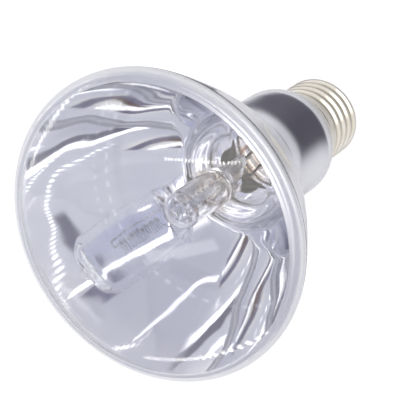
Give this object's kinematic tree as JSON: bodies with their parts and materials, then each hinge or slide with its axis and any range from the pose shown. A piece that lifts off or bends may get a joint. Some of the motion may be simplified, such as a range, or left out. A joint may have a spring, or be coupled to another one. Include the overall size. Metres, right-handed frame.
{
  "type": "reflector spot lamp",
  "caption": "Mirrored reflector lamp with a clear domed front, a halogen capsule on its axis, a barrel neck and an E27 screw cap, for a warm basking beam.",
  "frame": {"origin": "centre of the flat end of the centre contact's solder, on the lamp's axis", "axes": "+Z runs along the lamp's axis from the screw cap to the clear front; +X is along the width of the capsule's flat pinch; +Y completes the right-handed set"},
  "size_m": [0.095, 0.095, 0.1263],
  "materials": {
    "bulb_glass": "clear blown glass, mirrored inside the bowl and neck",
    "stem_glass": "clear drawn glass",
    "quartz": "clear quartz glass",
    "tungsten": "dull drawn wire",
    "molybdenum": "dull rolled foil and wire",
    "lead_wire": "dark oxidised wire",
    "copper_wire": "copper-clad wire",
    "cap_metal": "rolled and nickel plated",
    "cement": "fired cement",
    "black_glass": "black moulded glass",
    "contact_brass": "stamped brass",
    "solder": "set solder"
  },
  "bodies": {
    "root": {"glass_envelope": "bulb_glass", "glass_stem": "stem_glass", "capsule_glass": "quartz", "filament": "tungsten", "foil_left": "molybdenum", "foil_right": "molybdenum", "capsule_pin_left": "molybdenum", "capsule_pin_right": "molybdenum", "inner_lead_left": "lead_wire", "inner_lead_right": "lead_wire", "seal_wire_left": "copper_wire", "seal_wire_right": "copper_wire", "centre_lead": "copper_wire", "side_lead": "copper_wire", "cap_shell": "cap_metal", "cap_cement": "cement", "cap_insulator": "black_glass", "centre_contact": "contact_brass", "centre_solder": "solder", "side_solder": "solder"}
  },
  "joints": []
}
